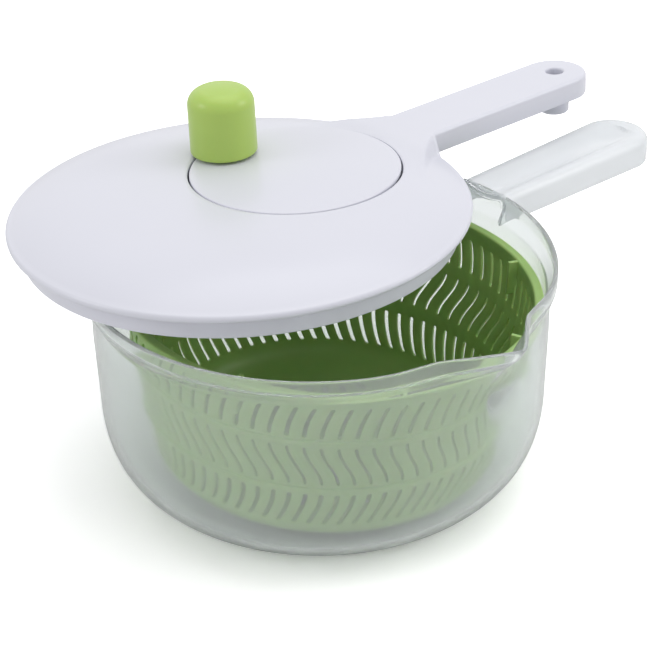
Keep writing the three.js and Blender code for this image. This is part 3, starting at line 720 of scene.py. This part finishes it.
def makeCrank():
    mesh = bmesh.new()
    top = lid["crown"]
    foot = top - 2.6
    discCorners = [(0, foot, 0), (57.3, foot, 0.4), (57.3, top, 0.9), (0, top, 0)]
    addTurned(mesh, roundedProfile(discCorners), 160)
    root = foot + 0.2
    hubCorners = [(2.9, root, 0), (2.9, 1.5, 0), (8, 1.5, 0.5), (8, root, 0)]
    addTurned(mesh, roundedProfile(hubCorners), 48, closed=True)
    for post in range(3):
        turn = 2 * math.pi * post / 3
        ringCorners = [(1.5, root, 0), (1.5, 1.5, 0), (4.0, 1.5, 0.3), (4.0, root, 0)]
        centre = (20 * math.cos(turn), 20 * math.sin(turn))
        addTurned(mesh, roundedProfile(ringCorners), 32, closed=True, shift=centre)
    piece = pieceFrom(mesh, "crank_disc_moulding", crankFrame)
    finish(piece, "white_gloss", "crank", "crank_disc")


knob = {"reach": 46.2, "bearing": math.radians(108.5), "bottom": lid["crown"] + 1.4, "foot": 18.5,
        "shoulder": 18.4, "top": lid["crown"] + 38.5, "corner": 8.7, "crown": 0.7}


def makeKnob():
    foot = knob["bottom"]
    corners = [(0, foot + 23.6, 0), (4.4, foot + 23.6, 0), (4.4, foot + 4.6, 0.4), (10, foot + 3.6, 0.4)]
    corners += [(10, foot, 0.4)]
    corners += [(knob["foot"], knob["bottom"], 1.2)]
    turnTop = knob["top"] - knob["crown"] - knob["corner"]
    for step in range(13):
        turn = math.pi / 2 * step / 12
        radius = knob["shoulder"] - knob["corner"] * (1 - math.cos(turn))
        corners.append((radius, turnTop + knob["corner"] * math.sin(turn), 0))
    flat = knob["shoulder"] - knob["corner"]
    for step in range(7, -1, -1):
        share = step / 8
        corners.append((flat * share, knob["top"] - knob["crown"] * share ** 2, 0))
    shift = Matrix.Rotation(knob["bearing"], 3, "Z") @ Vector((knob["reach"], 0, 0))
    place = crankFrame @ Matrix.Translation(shift * mm)
    piece = turnedPiece("knob_moulding", corners, 112, place)
    finish(piece, "green_knob", "knob", "knob")


makeCrank()
makeKnob()


# ---- what stays from the frame: better materials only ----

for name, node in frame["nodes"].items():
    slot = next(part["material_slot"] for part in frame["record"]["subparts"] if part["node"] == name)
    for index in range(len(node.material_slots)):
        node.material_slots[index].material = finishes[slotFinish[slot]]


# ---- stage, lights, camera ----

view = {"azimuth": math.radians(41), "elevation": 0.5222, "distance": 1.1, "right": 0.00208,
        "height": bowl["height"] * mm - 0.04025, "roll": -0.0232, "lens": 113.64}


def seenDirectly(nodes, links):     # 1 where the camera, a gloss or the frosted wall shows the backdrop
    path = nodes.new("ShaderNodeLightPath")
    either = nodes.new("ShaderNodeMath")
    either.operation = "MAXIMUM"
    total = nodes.new("ShaderNodeMath")
    total.operation = "MAXIMUM"
    links.new(path.outputs["Is Camera Ray"], either.inputs[0])
    links.new(path.outputs["Is Transmission Ray"], either.inputs[1])
    links.new(either.outputs[0], total.inputs[0])
    links.new(path.outputs["Is Glossy Ray"], total.inputs[1])
    return total.outputs[0]


def makeFloor():
    data = bpy.data.meshes.new("floor")
    data.from_pydata([(-4, -4, 0), (4, -4, 0), (4, 4, 0), (-4, 4, 0)], [], [(0, 1, 2, 3)])
    floor = bpy.data.objects.new("floor", data)
    bpy.context.scene.collection.objects.link(floor)
    floor.location.z = -0.0004
    material = bpy.data.materials.new("paleFloor")
    material.use_nodes = True
    nodes = material.node_tree.nodes
    links = material.node_tree.links
    nodes.clear()
    plain = nodes.new("ShaderNodeBsdfDiffuse")
    through = nodes.new("ShaderNodeBsdfDiffuse")      # what the frosted wall shows of the floor
    through.inputs["Color"].default_value = (1.2, 1.2, 1.2, 1)
    pickThrough = nodes.new("ShaderNodeMixShader")
    plain.inputs["Color"].default_value = (0.86, 0.86, 0.86, 1)
    seen = nodes.new("ShaderNodeBsdfDiffuse")
    seen.inputs["Color"].default_value = (1.5, 1.5, 1.5, 1)
    glow = nodes.new("ShaderNodeEmission")
    glow.inputs["Color"].default_value = (1, 1, 1, 1)
    glow.inputs["Strength"].default_value = 0.03
    both = nodes.new("ShaderNodeAddShader")
    pick = nodes.new("ShaderNodeMixShader")
    out = nodes.new("ShaderNodeOutputMaterial")
    links.new(seen.outputs[0], both.inputs[0])
    links.new(glow.outputs[0], both.inputs[1])
    path = nodes.new("ShaderNodeLightPath")
    links.new(path.outputs["Is Transmission Ray"], pickThrough.inputs[0])
    links.new(plain.outputs[0], pickThrough.inputs[1])
    links.new(through.outputs[0], pickThrough.inputs[2])
    links.new(path.outputs["Is Camera Ray"], pick.inputs[0])
    links.new(pickThrough.outputs[0], pick.inputs[1])
    links.new(both.outputs[0], pick.inputs[2])
    links.new(pick.outputs[0], out.inputs["Surface"])
    data.materials.append(material)


def makeWorld():
    world = bpy.data.worlds.new("studio")
    bpy.context.scene.world = world
    world.use_nodes = True
    nodes = world.node_tree.nodes
    links = world.node_tree.links
    nodes.clear()
    soft = nodes.new("ShaderNodeBackground")
    soft.inputs["Color"].default_value = (1, 1, 1, 1)
    soft.inputs["Strength"].default_value = 0.60
    seen = nodes.new("ShaderNodeBackground")
    seen.inputs["Color"].default_value = (1, 1, 1, 1)
    seen.inputs["Strength"].default_value = 1.0
    pick = nodes.new("ShaderNodeMixShader")
    out = nodes.new("ShaderNodeOutputWorld")
    links.new(seenDirectly(nodes, links), pick.inputs[0])
    links.new(soft.outputs[0], pick.inputs[1])
    links.new(seen.outputs[0], pick.inputs[2])
    links.new(pick.outputs[0], out.inputs["Surface"])


def areaLight(name, place, size, power, target=(0, 0, 0.08)):
    data = bpy.data.lights.new(name, "AREA")
    data.shape = "RECTANGLE"
    data.size = size[0]
    data.size_y = size[1]
    data.energy = power
    lamp = bpy.data.objects.new(name, data)
    lamp.location = place
    lamp.rotation_euler = (Vector(target) - Vector(place)).to_track_quat("-Z", "Y").to_euler()
    bpy.context.scene.collection.objects.link(lamp)


def makeCamera():
    right = Vector((math.cos(view["azimuth"]), -math.sin(view["azimuth"]), 0))
    back = Vector((math.sin(view["azimuth"]), math.cos(view["azimuth"]), 0))
    lift = math.sin(view["elevation"])
    away = -back * math.cos(view["elevation"]) + Vector((0, 0, lift))
    up = back * lift + Vector((0, 0, math.cos(view["elevation"])))
    cosRoll = math.cos(view["roll"])
    sinRoll = math.sin(view["roll"])
    rolledRight = right * cosRoll + up * sinRoll
    rolledUp = up * cosRoll - right * sinRoll
    data = bpy.data.cameras.new("camera")
    data.lens = view["lens"]
    data.sensor_width = 36
    camera = bpy.data.objects.new("camera", data)
    turn = Matrix((rolledRight, rolledUp, away)).transposed().to_4x4()
    turn.translation = right * view["right"] + Vector((0, 0, view["height"])) + away * view["distance"]
    camera.matrix_world = turn
    bpy.context.scene.collection.objects.link(camera)
    bpy.context.scene.camera = camera
    return right, back


makeFloor()
makeWorld()
seenRight, seenBack = makeCamera()
areaLight("overhead", seenBack * 0.3 + seenRight * 0.2 + Vector((0, 0, 1.6)), (1.8, 1.6), 11)
areaLight("rightWindow", seenRight * 1.5 + seenBack * 0.05 + Vector((0, 0, 0.95)), (0.7, 0.7), 5)
areaLight("leftWindow", seenRight * -1.5 - seenBack * 0.3 + Vector((0, 0, 0.95)), (0.6, 0.6), 4)
bpy.context.scene.view_settings.view_transform = "Standard"
